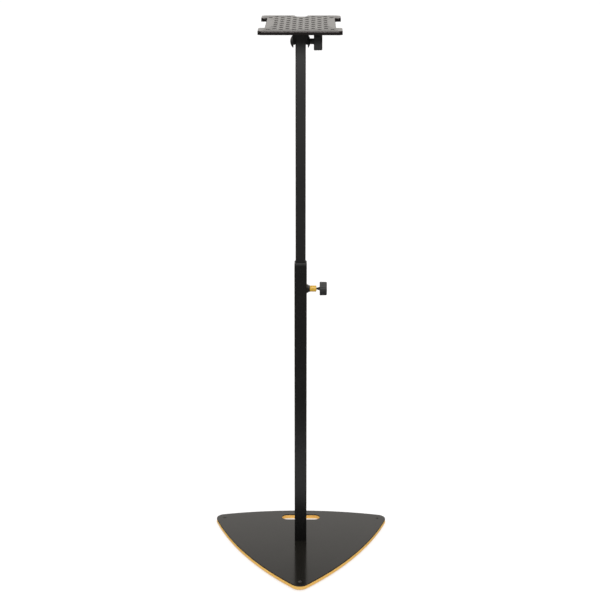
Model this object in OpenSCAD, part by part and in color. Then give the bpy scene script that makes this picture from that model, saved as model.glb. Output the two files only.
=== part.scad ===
// Height-adjustable speaker stand with a flat three-cornered base, a square
// telescopic column and a tilting perforated tray.
// Millimetres, +Z up, -Y towards the front corner of the base, knobs on +X.
// The origin is on the floor, under the middle of the base's footprint.

/* [Base] */
// Distance from the column axis to the middle of each bowed side
side_reach = 188; // [170:1:220]
// Radius of the bowed sides
side_radius = 1040; // [800:10:1600]
// Radius of the three rounded corners
corner_radius = 27; // [20:1:40]
// Thickness of the coloured base board
board_t = 11; // [10:0.5:18]
// Thickness of the steel top sheet
sheet_t = 3; // [3:0.5:5]
// Height of the rubber pads under the board
pad_h = 2.5; // [1.5:0.5:6]
// Diameter of the rubber pads
pad_d = 24; // [14:1:34]
// Length of the hand slot behind the column
slot_len = 116; // [80:1:130]
// Width of the hand slot
slot_w = 35; // [25:1:44]
// Distance from the column axis back to the middle of the hand slot
slot_back = 143; // [110:0.5:150]
// Distance from each corner's tip in to its screw
screw_inset = 24; // [18:1:40]
// Head diameter of the corner screws
screw_head_d = 10.5; // [9:0.5:12]
// Shank diameter of the corner screws
screw_d = 5; // [4:0.5:6]
// Length of the corner screws below the top sheet
screw_bite = 8; // [5:0.5:9]
// Diameter of the column bolt
column_bolt_d = 10; // [8:1:12]
// Head height of the column bolt
column_head_h = 5; // [4:0.5:5.5]
// Diameter of the washer under the column bolt's head
column_washer_d = 26; // [22:1:30]
// Thickness of that washer
column_washer_t = 2; // [1.5:0.5:2.5]
// Height of the threaded plug in the foot of the lower tube
foot_plug_h = 25; // [20:1:40]

/* [Column] */
// Outside width of the lower tube
lower_w = 35; // [34.6:0.1:36]
// Wall of the lower tube
lower_wall = 2; // [1.8:0.1:2.2]
// Outside corner radius of the lower tube
lower_corner = 3; // [2.5:0.1:4]
// Length of the lower tube
lower_len = 854; // [700:1:1000]
// Outside width of the upper tube
upper_w = 28; // [26:0.1:28.4]
// Wall of the upper tube
upper_wall = 1.5; // [1.2:0.1:2.5]
// Outside corner radius of the upper tube
upper_corner = 2.5; // [2:0.1:3.5]
// Length of the upper tube
upper_len = 880; // [800:1:960]
// Height of the tilt axis over the guide collar, as the stand is set
extension = 618; // [560:1:700]
// Upper tube standing above the tilt axis
upper_over_axis = 20; // [14:1:26]
// Height of the guide collar above the lower tube
collar_h = 6; // [4:0.5:10]
// Edge rounding of the guide collar
collar_round = 2.4; // [1:0.1:3.5]
// Depth of the guide collar's skirt in the lower tube
collar_skirt = 40; // [20:1:55]
// Length of the slide shoe's sleeve
shoe_len = 37; // [25:1:60]
// Thickness of the slide shoe's floor
shoe_floor = 3; // [2:0.5:5]
// Depth of the top plug below the tilt axis
plug_below_axis = 22; // [14:1:40]
// Thickness of the top plug's flange
plug_flange_t = 2.5; // [1.5:0.5:4]

/* [Height clamp] */
// Distance from the top of the lower tube down to the clamp axis
clamp_drop = 72.5; // [70:0.5:120]
// Length of the clamp boss
boss_len = 8.7; // [6:0.1:14]
// Boss diameter at the tube
boss_d = 21.6; // [20:0.1:26]
// Boss diameter at the bush
boss_tip_d = 18.4; // [17.6:0.1:20]
// Diameter of the coloured clamp bush
bush_d = 17.4; // [15:0.1:20]
// Length of the clamp bush outside the boss
bush_len = 18.5; // [12:0.1:26]
// Diameter of the bush's spigot through boss and tube wall
spigot_d = 12; // [11:0.1:14]
// Diameter of the clamp stud
stud_d = 6; // [5:0.5:6]
// Diameter of the clamp pad
clamp_pad_d = 9.4; // [8:0.1:9.4]
// Length of the clamp pad
clamp_pad_len = 3.4; // [3:0.1:5]
// Diameter of the stud's tip, which turns in the pad
stud_tip_d = 4; // [3:0.1:5]
// Outward travel of the clamp screw
clamp_travel = 2; // [1:0.5:3]
// Distance from the bush to the knob's grip
neck_len = 9.3; // [5:0.1:14]
// Bare stud between the bush and the knob's neck
neck_gap = 3.4; // [2:0.1:4.5]
// Wall of the neck round the stud at its thin end
neck_wall = 0.8; // [0.5:0.1:1]
// Neck diameter at the knob
neck_d = 8.4; // [7:0.1:12]
// Diameter of the clamp knob
clamp_knob_d = 38.6; // [30:0.1:50]
// Length of the clamp knob
clamp_knob_len = 20.3; // [14:0.1:26]

/* [Tilt head] */
// Height of the tray's top over the tilt axis
tray_over_axis = 49; // [48:0.5:60]
// Diameter of the tilt bolt
tilt_bolt_d = 8; // [6:0.5:8]
// Thickness of the nylon friction washers that line the yoke's cheeks
friction_t = 1.5; // [1:0.1:2.5]
// Distance the washers' edges lie inside the cheeks' edges
friction_inset = 0.8; // [0.2:0.1:2]
// Thickness of the yoke's cheeks
cheek_t = 3.9; // [2.5:0.1:5]
// Radius of the cheeks' lower ends about the tilt axis
cheek_end_r = 9.5; // [7:0.5:12]
// Width of the cheeks at the tray
cheek_top_w = 44; // [30:1:60]
// Height of the cheeks' upright edges below the web
cheek_straight = 8; // [4:1:14]
// Thickness of the yoke's web under the tray
web_t = 3; // [2:0.5:5]
// Inside radius of the yoke's two bends
bend_r = 3; // [1:0.5:5]
// Length of the yoke's tongue under the tray, front to back
tongue_len = 70; // [60:1:110]
// Width of that tongue
tongue_w = 22; // [14:1:24]
// Radius of the tongue's corners
tongue_r = 5; // [2:0.5:6]
// Diameter of the domed cap and domed washer
dome_d = 34.4; // [28:0.1:40]
// Height of the domed cap
cap_h = 8.7; // [7.5:0.1:12]
// Height of the domed washer
dome_h = 5.6; // [4:0.1:9]
// Height trimmed off the domed washer's crown
dome_trim = 1.5; // [1:0.1:2]
// Thickness of the domes' rims
dome_rim = 1.2; // [0.8:0.1:2]
// Width across flats of the tilt bolt's head and of the knob's nut
hex_af = 13; // [12:0.5:14]
// Height of the tilt bolt's head
tilt_head_h = 5.3; // [4:0.1:5.5]
// Diameter of the tilt knob's hub
hub_d = 15.6; // [14:0.1:20]
// Length of the tilt knob's hub
hub_len = 10.4; // [6:0.1:16]
// Diameter of the tilt knob
tilt_knob_d = 48.8; // [40:0.1:60]
// Length of the tilt knob
tilt_knob_len = 23; // [18:0.1:30]
// Outward travel of the tilt knob
tilt_travel = 2.5; // [1:0.5:4]

/* [Grips] */
// Flutes round each knob
flutes = 18; // [12:1:24]
// Depth of the flutes
flute_depth = 0.9; // [0.5:0.1:1.4]
// Chamfer of the knobs' ends
knob_chamfer = 1.6; // [0.8:0.1:3]
// Depth of the dish in the knobs' faces
dish_depth = 1.5; // [0.5:0.1:3]

/* [Tray] */
// Width of the tray
tray_w = 220; // [214:1:260]
// Depth of the tray, front to back
tray_d = 350; // [345:1:400]
// Thickness of the tray's sheet
tray_t = 1.5; // [1:0.1:2]
// Height of the tray's lip
lip_h = 10.5; // [6:0.5:14]
// Radius of the tray's outer corners
tray_corner = 12; // [8:0.5:14]
// Depth of the side notches
notch_in = 16.5; // [12:0.5:17]
// Length of the side notches
notch_len = 218; // [180:1:224]
// Distance the side notches lie behind the column axis
notch_back = 4; // [0:0.5:6]
// Radius of the ears' inner corners
ear_r = 6; // [4:0.5:7]
// Radius inside the side notches
notch_r = 5; // [3:0.5:6]
// Width of the back notch at its mouth
back_mouth = 36; // [30:1:44]
// Width of the back notch at its floor
back_floor = 22; // [20:1:28]
// Depth of the back notch
back_in = 28; // [20:0.5:29]
// Radius of the back notch's corners
back_r = 7; // [3:0.5:8]
// Diameter of the holes
hole_d = 10; // [5:0.5:12]
// Spacing of the hole columns
hole_pitch_x = 16.8; // [15:0.1:17.2]
// Spacing of the hole rows
hole_pitch_y = 21.6; // [18:0.1:22]

/* [Fits] */
// Radial gap of a shaft that turns in a bore
run_gap = 0.05; // [0.02:0.01:0.1]
// Gap round a piece that is seated in another
sit_gap = 0.1; // [0.05:0.01:0.2]
// Gap beside a piece that slides
slide_gap = 0.3; // [0.2:0.05:0.4]

/* [Hidden] */
$fn = 48;

// Colours as the photo shows them
black = [0.16, 0.16, 0.16];
tube_black = [0.22, 0.22, 0.21];
sheet_black = [0.35, 0.34, 0.32];
accent = [0.93, 0.68, 0.25];
steel = [0.62, 0.62, 0.64];
nylon = [0.85, 0.84, 0.80];
rubber = [0.10, 0.10, 0.10];

// Base outline: three bowed sides and three round corners, all tangent
sides = 3;
side_centre = side_radius - side_reach;
corner_centre = (sqrt(4 * pow(side_radius - corner_radius, 2)
    - 3 * pow(side_centre, 2)) - side_centre) / 2;
side_half_angle = atan2(corner_centre * sin(60),
    corner_centre * cos(60) + side_centre);
tip_reach = corner_centre + corner_radius;
screw_r = tip_reach - screw_inset;
countersink_h = (screw_head_d - screw_d) / 2;
side_steps = 14;
arc_steps = 8;
corner_steps = 5;
ease_steps = 6;
slot_steps = 16;

// Proportions of socket screws: head and key to the shank, key's depth to the head
head_share = 1.75;
key_share = 0.7;
key_depth_share = 0.6;

// Proportions of the knobs, to their diameter: flute radius, dish at its floor and mouth
flute_share = 0.09;
dish_floor_share = 0.58;
dish_mouth_share = 0.7;

// Column axis, so that the footprint's middle lies on the origin
col_y = (tip_reach - side_reach) / 2;

// Levels
board_z = pad_h;
sheet_z = board_z + board_t;
base_top = sheet_z + sheet_t;
tube_top = base_top + lower_len;
collar_top = tube_top + collar_h;
clamp_z = tube_top - clamp_drop;
axis_z = collar_top + extension;
upper_top = axis_z + upper_over_axis;
upper_bottom = upper_top - upper_len;
tray_top = axis_z + tray_over_axis;
cut = 1;

// Tubes
lower_in = lower_w - 2 * lower_wall;
upper_in = upper_w - 2 * upper_wall;
lower_in_corner = lower_corner - lower_wall;
upper_in_corner = upper_corner - upper_wall;
guide_in = upper_w + 2 * slide_gap;
column_recess = column_washer_t + column_head_h;
column_bolt_short = 3;

// Height clamp, measured outwards from the column axis
tube_face = lower_w / 2;
boss_end = tube_face + boss_len;
bush_end = boss_end + bush_len;
clamp_knob_x = bush_end + neck_len;
clamp_pad_x = upper_w / 2 + sit_gap;
clamp_pad_end = clamp_pad_x + clamp_pad_len;
pad_socket_end = clamp_pad_end + clamp_travel + 4 * sit_gap;
stud_tip_in = 2;

// Tilt head, measured outwards from the column axis
cheek_in = upper_w / 2 + friction_t + run_gap;
cheek_out = cheek_in + cheek_t;
dome_end = cheek_out + dome_h;
hub_end = dome_end + hub_len;
web_under = tray_over_axis - tray_t - web_t;
nut_len = 12;
bolt_short = 2;
bolt_end = hub_end + nut_len - bolt_short;

// Hole pattern of the tray
hole_rows = 14;
edge_col = 5;

// Points of an arc about c
function arc(c, r, from, to, n) =
    [for (i = [0:n]) c + r * [cos(from + (to - from) * i / n), sin(from + (to - from) * i / n)]];

// Turn from angle a to angle b by the short way
function short_turn(a, b) = b - a - 360 * round((b - a) / 360);

// Fillet of radius r at corner p, between its neighbours before and after
function fillet(before, p, after, r, n) =
    let (
        u = (before - p) / norm(before - p),
        v = (after - p) / norm(after - p),
        half = acos(u * v) / 2,
        c = p + (u + v) / norm(u + v) * r / sin(half),
        first = p + u * r / tan(half) - c,
        last = p + v * r / tan(half) - c,
        from = atan2(first[1], first[0])
    )
    arc(c, r, from, from + short_turn(from, atan2(last[1], last[0])), n);

// Closed outline through corners [x, y, radius]
function rounded(corners, n) =
    [for (i = [0:len(corners) - 1])
        let (
            p = corners[i],
            b = corners[(i + len(corners) - 1) % len(corners)],
            a = corners[(i + 1) % len(corners)]
        )
        each fillet([b[0], b[1]], [p[0], p[1]], [a[0], a[1]], p[2], n)];

// Rounded rectangle, w along x, h along y
function rounded_rect(w, h, r, n) =
    rounded([[w / 2, h / 2, r], [-w / 2, h / 2, r], [-w / 2, -h / 2, r], [w / 2, -h / 2, r]], n);

// Corner arc and the bowed side after it, for each of the three corners
function base_outline() =
    [for (k = [0:sides - 1])
        let (
            side = 360 / sides * k - 30,
            corner = side + 60,
            side_c = -side_centre * [cos(side), sin(side)],
            corner_c = corner_centre * [cos(corner), sin(corner)]
        )
        each concat(
            arc(side_c, side_radius, side - side_half_angle, side + side_half_angle, side_steps),
            [for (i = [1:arc_steps - 1])
                arc(corner_c, corner_radius, side + side_half_angle,
                    side + 120 - side_half_angle, arc_steps)[i]]
        )];

// Tray outline, drawn in by the given amount
function tray_outline(inset) =
    let (
        w = tray_w / 2 - inset,
        d = tray_d / 2 - inset,
        x = tray_w / 2 - notch_in - inset,
        y0 = notch_back - notch_len / 2 - inset,
        y1 = notch_back + notch_len / 2 + inset,
        m = back_mouth / 2 + inset,
        f = back_floor / 2 + inset,
        b = tray_d / 2 - back_in - inset,
        right = [
            [w, -d, tray_corner - inset],
            [w, y0, ear_r - inset],
            [x, y0, notch_r + inset],
            [x, y1, notch_r + inset],
            [w, y1, ear_r - inset],
            [w, d, tray_corner - inset],
            [m, d, back_r - inset],
            [f, b, back_r + inset]
        ],
        left = [for (i = [len(right) - 1:-1:0]) [-right[i][0], right[i][1], right[i][2]]]
    )
    rounded(concat(right, left), ease_steps);

// The lattice is staggered, leaves out the hole at the back notch and has
// only a front and a back hole in its two edge columns
function has_hole(c, r) =
    (c + r) % 2 == 0
    && (abs(c) < edge_col ? !(c == 0 && r == 0) : r == 1 || r == hole_rows - 1);

module on_column() {
    translate([0, col_y, 0])
        children();
}

module at_clamp(x = 0) {
    translate([x, col_y, clamp_z])
        rotate([0, 90, 0])
            children();
}

module at_tilt(x = 0) {
    translate([x, col_y, axis_z])
        rotate([0, 90, 0])
            children();
}

module at_corners(r) {
    for (k = [0:sides - 1])
        rotate(360 / sides * k - 90)
            translate([r, 0, 0])
                children();
}

module square_bar(w, r, h) {
    linear_extrude(h)
        polygon(rounded_rect(w, w, r, corner_steps));
}

// Block with its upper edges rounded as well as its upright ones
module soft_block(w, r, h, top_r) {
    intersection() {
        square_bar(w, r, h);
        translate([0, w, 0])
            rotate([90, 0, 0])
                linear_extrude(2 * w)
                    soft_profile(w, h, top_r);
        translate([-w, 0, 0])
            rotate([90, 0, 90])
                linear_extrude(2 * w)
                    soft_profile(w, h, top_r);
    }
}

module soft_profile(w, h, top_r) {
    polygon(concat(
        [[-w / 2, 0], [w / 2, 0]],
        arc([w / 2 - top_r, h - top_r], top_r, 0, 90, corner_steps),
        arc([top_r - w / 2, h - top_r], top_r, 90, 180, corner_steps)
    ));
}

module slot_shape() {
    translate([0, slot_back])
        polygon(concat(
            arc([(slot_len - slot_w) / 2, 0], slot_w / 2, -90, 90, slot_steps),
            arc([(slot_w - slot_len) / 2, 0], slot_w / 2, 90, 270, slot_steps)
        ));
}

module base_plate(t) {
    linear_extrude(t)
        difference() {
            polygon(base_outline());
            slot_shape();
        }
}

module base_board() {
    color(accent)
        on_column()
            translate([0, 0, board_z])
                difference() {
                    base_plate(board_t);
                    translate([0, 0, -cut])
                        cylinder(h = column_recess + cut, d = column_washer_d + 2 * sit_gap);
                    translate([0, 0, -cut])
                        cylinder(h = board_t + 2 * cut, d = column_bolt_d + 4 * sit_gap);
                    at_corners(screw_r)
                        translate([0, 0, board_t - screw_bite - sit_gap])
                            cylinder(h = screw_bite + cut, d = screw_d + 2 * sit_gap);
                }
}

module base_top_sheet() {
    color(sheet_black)
        on_column()
            translate([0, 0, sheet_z])
                difference() {
                    base_plate(sheet_t);
                    translate([0, 0, -cut])
                        cylinder(h = sheet_t + 2 * cut, d = column_bolt_d + 4 * sit_gap);
                    at_corners(screw_r)
                        translate([0, 0, -cut])
                            cylinder(h = sheet_t + 2 * cut, d = screw_d + 2 * sit_gap);
                    at_corners(screw_r)
                        translate([0, 0, sheet_t - countersink_h])
                            cylinder(h = countersink_h + sit_gap,
                                d1 = screw_d + 2 * sit_gap,
                                d2 = screw_head_d + 4 * sit_gap);
                }
}

module corner_screws() {
    color(steel)
        on_column()
            at_corners(screw_r)
                translate([0, 0, base_top])
                    difference() {
                        union() {
                            translate([0, 0, -countersink_h])
                                cylinder(h = countersink_h, d1 = screw_d, d2 = screw_head_d);
                            translate([0, 0, -sheet_t - screw_bite])
                                cylinder(h = sheet_t + screw_bite - cut / 2, d = screw_d);
                        }
                        translate([0, 0, -countersink_h * key_depth_share])
                            cylinder(h = countersink_h, d = screw_d * key_share, $fn = 6);
                    }
}

module rubber_pads() {
    color(rubber)
        on_column()
            at_corners(corner_centre)
                rotate_extrude()
                    polygon([
                        [0, 0],
                        [pad_d / 2 - pad_h / 3, 0],
                        [pad_d / 2, pad_h / 3],
                        [pad_d / 2, pad_h],
                        [0, pad_h]
                    ]);
}

module column_bolt() {
    head_z = board_z;
    shank_z = head_z + column_head_h;
    color(steel)
        on_column()
            difference() {
                union() {
                    translate([0, 0, head_z])
                        cylinder(h = column_head_h, d = head_share * column_bolt_d);
                    translate([0, 0, shank_z])
                        cylinder(h = base_top + foot_plug_h - column_bolt_short - shank_z,
                            d = column_bolt_d);
                }
                translate([0, 0, head_z - cut])
                    cylinder(h = cut + key_depth_share * column_head_h,
                        d = key_share * column_bolt_d,
                        $fn = 6);
            }
}

module column_washer() {
    color(steel)
        on_column()
            translate([0, 0, board_z + column_head_h])
                difference() {
                    cylinder(h = column_washer_t, d = column_washer_d);
                    translate([0, 0, -cut])
                        cylinder(h = column_washer_t + 2 * cut, d = column_bolt_d + 2 * sit_gap);
                }
}

module foot_plug() {
    color(steel)
        on_column()
            translate([0, 0, base_top])
                difference() {
                    square_bar(lower_in - 2 * sit_gap, lower_in_corner, foot_plug_h);
                    translate([0, 0, -cut])
                        cylinder(h = foot_plug_h + 2 * cut, d = column_bolt_d + 2 * run_gap);
                }
}

module lower_tube() {
    color(tube_black)
        difference() {
            on_column()
                translate([0, 0, base_top])
                    difference() {
                        square_bar(lower_w, lower_corner, lower_len);
                        translate([0, 0, -cut])
                            square_bar(lower_in, lower_in_corner, lower_len + 2 * cut);
                    }
            at_clamp()
                cylinder(h = lower_w, d = spigot_d + 2 * run_gap);
        }
}

module guide_collar() {
    color(black)
        on_column()
            translate([0, 0, tube_top])
                difference() {
                    union() {
                        soft_block(lower_w - 4 * sit_gap, lower_corner, collar_h, collar_round);
                        translate([0, 0, -collar_skirt])
                            square_bar(lower_in - 2 * sit_gap, lower_in_corner, collar_skirt + cut);
                    }
                    translate([0, 0, -collar_skirt - cut])
                        square_bar(guide_in, upper_corner, collar_skirt + collar_h + 2 * cut);
                }
}

module clamp_boss() {
    color(black)
        at_clamp(tube_face)
            difference() {
                cylinder(h = boss_len, d1 = boss_d, d2 = boss_tip_d);
                translate([0, 0, -cut])
                    cylinder(h = boss_len + 2 * cut, d = spigot_d + 2 * run_gap);
            }
}

module clamp_bush() {
    spigot_x = tube_face - lower_wall;
    color(accent)
        at_clamp()
            difference() {
                union() {
                    translate([0, 0, boss_end])
                        cylinder(h = bush_len, d = bush_d);
                    translate([0, 0, spigot_x])
                        cylinder(h = boss_end - spigot_x + cut, d = spigot_d);
                }
                translate([0, 0, spigot_x - cut])
                    cylinder(h = bush_end - spigot_x + 2 * cut, d = stud_d + 2 * run_gap);
                translate([0, 0, spigot_x - cut])
                    cylinder(h = pad_socket_end - spigot_x + cut, d = clamp_pad_d + 2 * run_gap);
            }
}

module clamp_pad() {
    color(nylon)
        at_clamp(clamp_pad_x)
            difference() {
                cylinder(h = clamp_pad_len, d = clamp_pad_d);
                translate([0, 0, clamp_pad_len - stud_tip_in - sit_gap])
                    cylinder(h = stud_tip_in + cut, d = stud_tip_d + 2 * run_gap);
            }
}

module clamp_stud() {
    color(steel)
        at_clamp(clamp_pad_end)
            union() {
                translate([0, 0, -stud_tip_in])
                    cylinder(h = stud_tip_in + cut, d = stud_tip_d);
                translate([0, 0, sit_gap])
                    cylinder(h = clamp_knob_x + clamp_knob_len / 2 - clamp_pad_end - sit_gap,
                        d = stud_d);
            }
}

// Body of a hand knob of diameter d and length l, with grip flutes all round
module fluted_grip(d, l) {
    flute_r = d * flute_share;
    difference() {
        rotate_extrude()
            polygon([
                [0, 0],
                [d / 2 - knob_chamfer, 0],
                [d / 2, knob_chamfer],
                [d / 2 - knob_chamfer / 4, l - knob_chamfer],
                [d / 2 - 1.25 * knob_chamfer, l],
                [0, l]
            ]);
        for (k = [0:flutes - 1])
            rotate(360 / flutes * k)
                translate([d / 2 + flute_r - flute_depth, 0, -cut])
                    cylinder(h = l + 2 * cut, r = flute_r, $fn = 24);
        translate([0, 0, l - dish_depth])
            cylinder(h = dish_depth + cut, d1 = dish_floor_share * d, d2 = dish_mouth_share * d);
    }
}

module clamp_knob() {
    color(black)
        at_clamp(bush_end)
            difference() {
                union() {
                    translate([0, 0, neck_gap])
                        cylinder(h = neck_len - neck_gap + cut,
                            d1 = stud_d + 2 * neck_wall,
                            d2 = neck_d);
                    translate([0, 0, neck_len])
                        fluted_grip(clamp_knob_d, clamp_knob_len);
                }
                translate([0, 0, -cut])
                    cylinder(h = cut + neck_len + clamp_knob_len / 2 + sit_gap,
                        d = stud_d + 2 * run_gap);
            }
}

module upper_tube() {
    color(tube_black)
        difference() {
            on_column()
                translate([0, 0, upper_bottom])
                    difference() {
                        square_bar(upper_w, upper_corner, upper_len);
                        translate([0, 0, -cut])
                            square_bar(upper_in, upper_in_corner, upper_len + 2 * cut);
                    }
            at_tilt(-upper_w)
                cylinder(h = 2 * upper_w, d = tilt_bolt_d + 4 * sit_gap);
        }
}

module slide_shoe() {
    color(nylon)
        on_column()
            translate([0, 0, upper_bottom - shoe_floor])
                difference() {
                    square_bar(lower_in - 2 * slide_gap, lower_in_corner + slide_gap,
                        shoe_floor + shoe_len);
                    translate([0, 0, shoe_floor])
                        square_bar(upper_w + 2 * sit_gap, upper_corner, shoe_len + cut);
                }
}

module top_plug() {
    plug_len = upper_over_axis + plug_below_axis;
    color(black)
        difference() {
            on_column()
                translate([0, 0, upper_top])
                    union() {
                        soft_block(upper_w, upper_corner, plug_flange_t, plug_flange_t / 2);
                        translate([0, 0, -plug_len])
                            square_bar(upper_in - 2 * sit_gap, upper_in_corner, plug_len + cut / 2);
                    }
            at_tilt(-upper_w)
                cylinder(h = 2 * upper_w, d = tilt_bolt_d + 2 * run_gap);
        }
}

// Lining of a cheek's inner face, from the lower end up to the yoke's bend
module friction_washer(x) {
    color(black)
        difference() {
            translate([x, col_y, axis_z])
                rotate([90, 0, 90])
                    linear_extrude(friction_t)
                        cheek_shape(friction_inset, web_under - bend_r - friction_inset);
            at_tilt(x - cut)
                cylinder(h = friction_t + 2 * cut, d = tilt_bolt_d + 2 * sit_gap);
        }
}

module friction_washer_left() {
    friction_washer(-cheek_in);
}

module friction_washer_right() {
    friction_washer(cheek_in - friction_t);
}

module tray() {
    lattice_back = (hole_rows - 1) / 2 * hole_pitch_y;
    color(sheet_black)
        on_column()
            translate([0, 0, tray_top])
                difference() {
                    translate([0, 0, -lip_h])
                        linear_extrude(lip_h)
                            polygon(tray_outline(0));
                    translate([0, 0, -lip_h - cut])
                        linear_extrude(lip_h - tray_t + cut)
                            polygon(tray_outline(tray_t));
                    for (c = [-edge_col:edge_col])
                        for (r = [0:hole_rows - 1])
                            if (has_hole(c, r))
                                translate([c * hole_pitch_x, lattice_back - r * hole_pitch_y, -2 * tray_t])
                                    cylinder(h = 3 * tray_t, d = hole_d);
                }
}

// Upright edges from the given height down, then straight edges that run in to touch the
// round lower end, all drawn in by the inset
module cheek_shape(inset, top) {
    spread = cheek_top_w / 2 - inset;
    shoulder = web_under - cheek_straight;
    end_r = cheek_end_r - inset;
    touch = atan2(shoulder, spread) - acos(end_r / norm([spread, shoulder]));
    polygon(concat(
        [[spread, top], [-spread, top], [-spread, shoulder]],
        arc([0, 0], end_r, 180 - touch, 360 + touch, 2 * arc_steps),
        [[spread, shoulder]]
    ));
}

// Cross-section of the bent strip: two cheeks and the web, open below
module yoke_section() {
    low = -cheek_end_r - cut;
    top = web_under + web_t;
    polygon(concat(
        [[cheek_in, low], [cheek_out, low]],
        fillet([cheek_out, low], [cheek_out, top], [-cheek_out, top], bend_r + web_t, corner_steps),
        fillet([cheek_out, top], [-cheek_out, top], [-cheek_out, low], bend_r + web_t, corner_steps),
        [[-cheek_out, low], [-cheek_in, low]],
        fillet([-cheek_in, low], [-cheek_in, web_under], [cheek_in, web_under], bend_r, corner_steps),
        fillet([-cheek_in, web_under], [cheek_in, web_under], [cheek_in, low], bend_r, corner_steps)
    ));
}

module yoke() {
    color(black)
        difference() {
            on_column()
                translate([0, 0, axis_z])
                    union() {
                        intersection() {
                            translate([0, cheek_top_w, 0])
                                rotate([90, 0, 0])
                                    linear_extrude(2 * cheek_top_w)
                                        yoke_section();
                            translate([-2 * cheek_out, 0, 0])
                                rotate([90, 0, 90])
                                    linear_extrude(4 * cheek_out)
                                        cheek_shape(0, web_under + web_t + cut);
                        }
                        translate([0, 0, web_under])
                            linear_extrude(web_t)
                                polygon(rounded_rect(tongue_w, tongue_len, tongue_r, corner_steps));
                    }
            at_tilt(-2 * cheek_out)
                cylinder(h = 4 * cheek_out, d = tilt_bolt_d + 2 * sit_gap);
        }
}

module tilt_bolt() {
    color(steel)
        union() {
            at_tilt(-cheek_out - tilt_head_h)
                cylinder(h = tilt_head_h, d = hex_af / cos(30), $fn = 6);
            at_tilt(-cheek_out - cut)
                cylinder(h = cheek_out + cut + bolt_end, d = tilt_bolt_d);
        }
}

// Spherical dome on a flat rim, standing on its flat face
module dome(d, h) {
    rise = h - dome_rim;
    ball = (pow(d / 2, 2) + pow(rise, 2)) / (2 * rise);
    half = asin(d / 2 / ball);
    rotate_extrude()
        polygon(concat(
            [[0, 0], [d / 2, 0]],
            arc([0, h - ball], ball, 90 - half, 90, arc_steps)
        ));
}

module dome_cap() {
    color(black)
        translate([-cheek_out, col_y, axis_z])
            rotate([0, -90, 0])
                difference() {
                    dome(dome_d, cap_h);
                    translate([0, 0, -cut])
                        cylinder(h = tilt_head_h + sit_gap + cut,
                            d = (hex_af + 2 * sit_gap) / cos(30),
                            $fn = 6);
                }
}

module dome_washer() {
    color(black)
        at_tilt(cheek_out)
            difference() {
                intersection() {
                    dome(dome_d, dome_h + dome_trim);
                    cylinder(h = dome_h, d = 2 * dome_d);
                }
                translate([0, 0, -cut])
                    cylinder(h = dome_h + 2 * cut, d = tilt_bolt_d + 2 * sit_gap);
            }
}

module tilt_knob() {
    bore_depth = hub_len + nut_len + tilt_travel;
    color(black)
        at_tilt(dome_end)
            difference() {
                union() {
                    cylinder(h = hub_len + cut, d = hub_d);
                    translate([0, 0, hub_len])
                        fluted_grip(tilt_knob_d, tilt_knob_len);
                }
                translate([0, 0, -cut])
                    cylinder(h = bore_depth + cut, d = tilt_bolt_d + 2 * sit_gap);
                translate([0, 0, hub_len])
                    cylinder(h = nut_len + sit_gap, d = (hex_af + 2 * sit_gap) / cos(30), $fn = 6);
            }
}

module tilt_knob_nut() {
    color(steel)
        at_tilt(hub_end)
            difference() {
                cylinder(h = nut_len, d = hex_af / cos(30), $fn = 6);
                translate([0, 0, -cut])
                    cylinder(h = nut_len + 2 * cut, d = tilt_bolt_d + 2 * run_gap);
            }
}

base_board();
base_top_sheet();
corner_screws();
rubber_pads();
column_bolt();
column_washer();
foot_plug();
lower_tube();
guide_collar();
clamp_boss();
clamp_bush();
clamp_pad();
clamp_stud();
clamp_knob();
upper_tube();
slide_shoe();
top_plug();
friction_washer_left();
friction_washer_right();
tray();
yoke();
tilt_bolt();
dome_cap();
dome_washer();
tilt_knob();
tilt_knob_nut();
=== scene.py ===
"""A height-adjustable speaker stand, dressed piece by piece in the order in which it is put together."""

import math

import bmesh
import bpy
import numpy as np
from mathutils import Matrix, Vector
from mathutils.geometry import delaunay_2d_cdt


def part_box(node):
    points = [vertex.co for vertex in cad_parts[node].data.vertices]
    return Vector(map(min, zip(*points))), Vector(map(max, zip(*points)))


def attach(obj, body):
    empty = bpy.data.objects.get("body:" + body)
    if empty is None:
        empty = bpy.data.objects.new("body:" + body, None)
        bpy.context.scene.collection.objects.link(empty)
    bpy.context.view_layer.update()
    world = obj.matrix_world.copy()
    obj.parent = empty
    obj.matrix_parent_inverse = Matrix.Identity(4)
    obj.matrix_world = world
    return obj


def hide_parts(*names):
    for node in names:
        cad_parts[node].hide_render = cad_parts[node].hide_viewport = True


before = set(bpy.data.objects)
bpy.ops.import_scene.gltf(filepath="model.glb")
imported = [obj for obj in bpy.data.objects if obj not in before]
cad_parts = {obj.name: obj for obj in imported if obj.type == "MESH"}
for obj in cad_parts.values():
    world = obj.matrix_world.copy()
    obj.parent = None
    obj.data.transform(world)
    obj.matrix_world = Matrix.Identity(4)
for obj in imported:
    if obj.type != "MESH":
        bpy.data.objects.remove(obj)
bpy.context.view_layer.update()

MM = 0.001


# Base board. The real one is a board of dense fibre, cut to a bowed triangle with a hand slot and
# lacquered yellow-orange. It carries the column from below and the steel sheet is screwed on it.
side_reach = 188 * MM
side_radius = 1040 * MM
corner_radius = 27 * MM
slot_length = 116 * MM
slot_width = 35 * MM
slot_behind = 143 * MM
board_top_arris = 1.0 * MM
board_low_arris = 3.2 * MM
slot_low_arris = 1.0 * MM
board_amber = (0.90, 0.49, 0.095)
board_honey = (0.96, 0.62, 0.16)


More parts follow.
